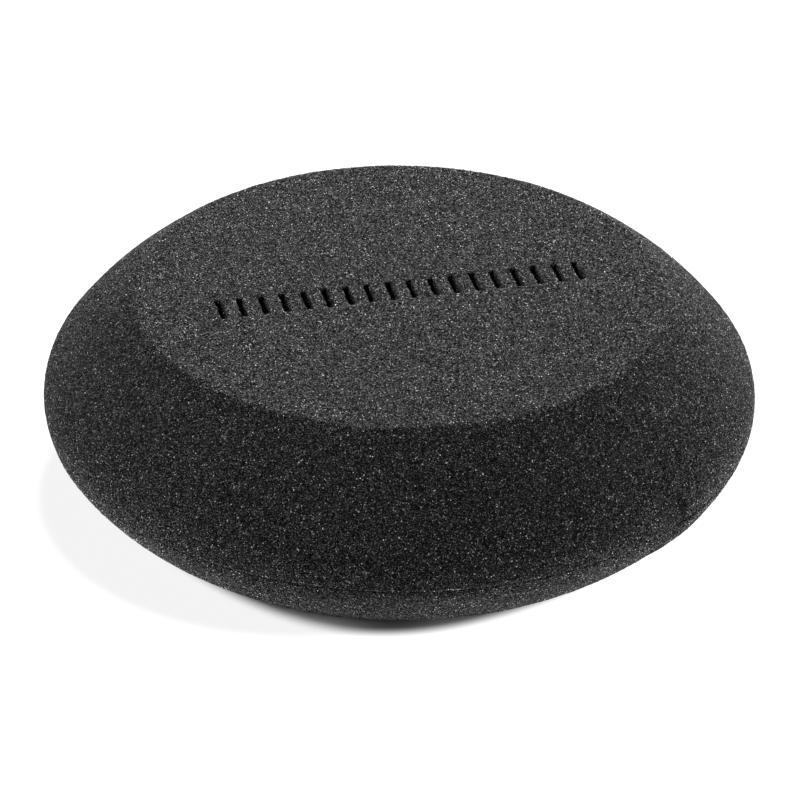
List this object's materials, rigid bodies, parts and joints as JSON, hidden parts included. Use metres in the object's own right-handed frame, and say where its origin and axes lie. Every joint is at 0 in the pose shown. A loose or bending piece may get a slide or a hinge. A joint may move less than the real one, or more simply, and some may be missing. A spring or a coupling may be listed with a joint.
{
  "type": "polishing pad",
  "caption": "Saucer-shaped hand polishing pad of two bonded foams, with a flat working face, a rounded rim to hold and a row of cut marks on top.",
  "frame": {"origin": "centre of the flat working face, at the bottom of the pad", "axes": "+Z along the pad's own axis, from the working face up to the grip face; +X along the diameter that the row of marks crosses at a small turn; +Y completes the right-handed frame"},
  "size_m": [0.13, 0.13, 0.0354],
  "materials": {
    "grip_foam": "matte",
    "bond_film": "satin",
    "working_foam": "matte"
  },
  "bodies": {
    "working_layer": {"working_foam": "working_foam"},
    "grip_layer": {"grip_foam": "grip_foam", "bond_film": "bond_film"}
  },
  "joints": [
    {"name": "press", "type": "slide", "parent": "working_layer", "child": "grip_layer", "axis": [0, 0, -1], "range_m": [0, 0.01], "stiffness_N_per_m": 2500, "deforming": ["working_foam", "grip_foam"]}
  ]
}
